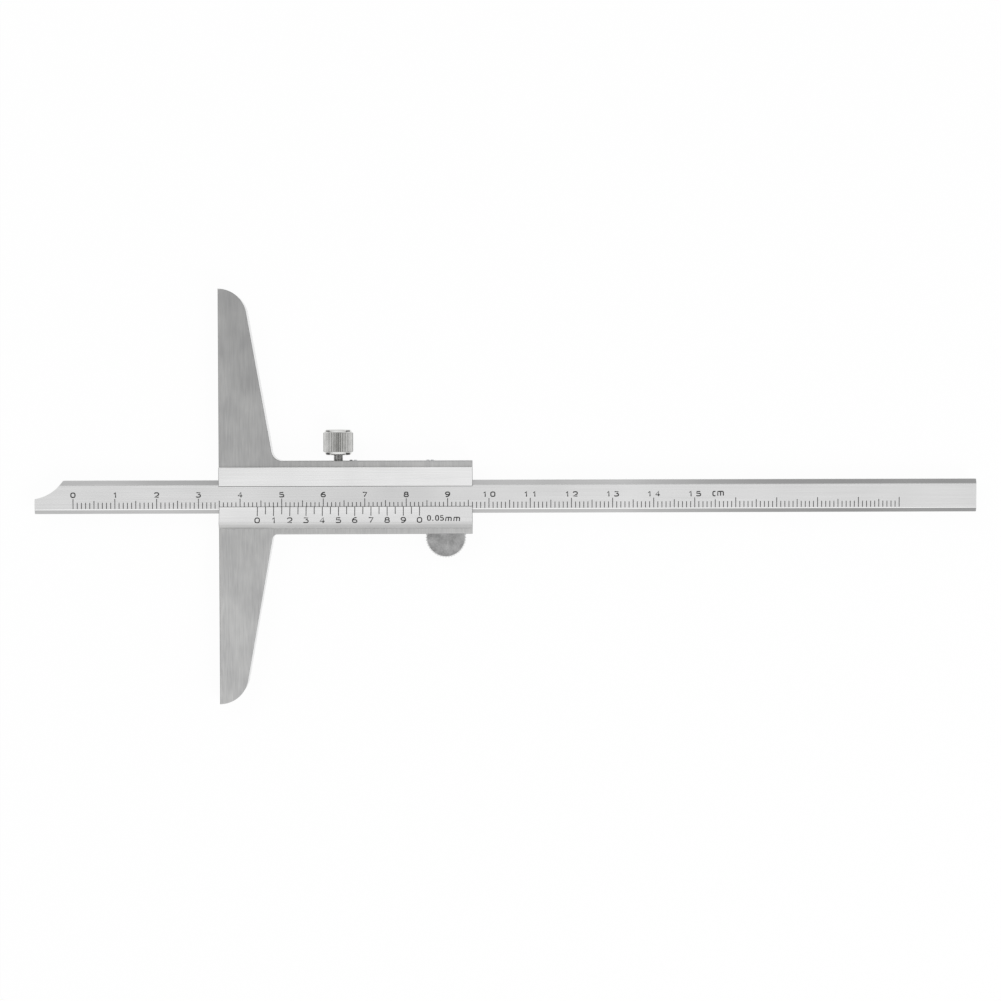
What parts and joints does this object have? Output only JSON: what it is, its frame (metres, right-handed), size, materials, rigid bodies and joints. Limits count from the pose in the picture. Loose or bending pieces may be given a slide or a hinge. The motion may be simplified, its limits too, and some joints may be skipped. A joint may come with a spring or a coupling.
{
  "type": "vernier depth gauge",
  "caption": "Depth gauge with a T-shaped base and slider, a graduated beam that slides through it, a knurled clamping screw and a thumb rest.",
  "frame": {"origin": "under the middle of the gauge's outer box, on the plane of the base's flat back", "axes": "+X along the beam away from its measuring tip, +Y across it towards the clamping screw, +Z out of the graduated front"},
  "size_m": [0.2282, 0.1, 0.0075],
  "materials": {
    "satin_steel": "satin ground",
    "ground_steel": "fine ground, satin chromed",
    "plain_steel": "plain turned and milled",
    "dark_steel": "oiled",
    "bright_nickel": "bright plated",
    "brass": "turned"
  },
  "bodies": {
    "slider": {"slider_frame": "satin_steel", "gib_strip": "plain_steel", "gib_screw_1": "dark_steel", "gib_screw_2": "dark_steel", "thumb_rest": "plain_steel", "thumb_rest_pin_1": "dark_steel", "thumb_rest_pin_2": "dark_steel"},
    "beam": {"beam": "ground_steel"},
    "lock_pad": {"lock_pad": "brass"},
    "lock_screw": {"lock_screw": "bright_nickel"}
  },
  "joints": [
    {"name": "beam_slide", "type": "slide", "parent": "slider", "child": "beam", "axis": [-1, 0, 0], "range_m": [-0.0442, 0.1058]},
    {"name": "lock_pad_slide", "type": "slide", "parent": "slider", "child": "lock_pad", "axis": [0, 1, 0], "range_m": [0, 0.0009]},
    {"name": "lock_screw_turn", "type": "hinge", "parent": "lock_pad", "child": "lock_screw", "pos_m": [-0.0413, 0.0087, 0.00375], "axis": [0, 1, 0], "range_deg": [0, 720]}
  ],
  "couplings": [
    {"joint": "lock_screw_turn", "follows": "lock_pad_slide", "rad_per_m": 13963}
  ]
}
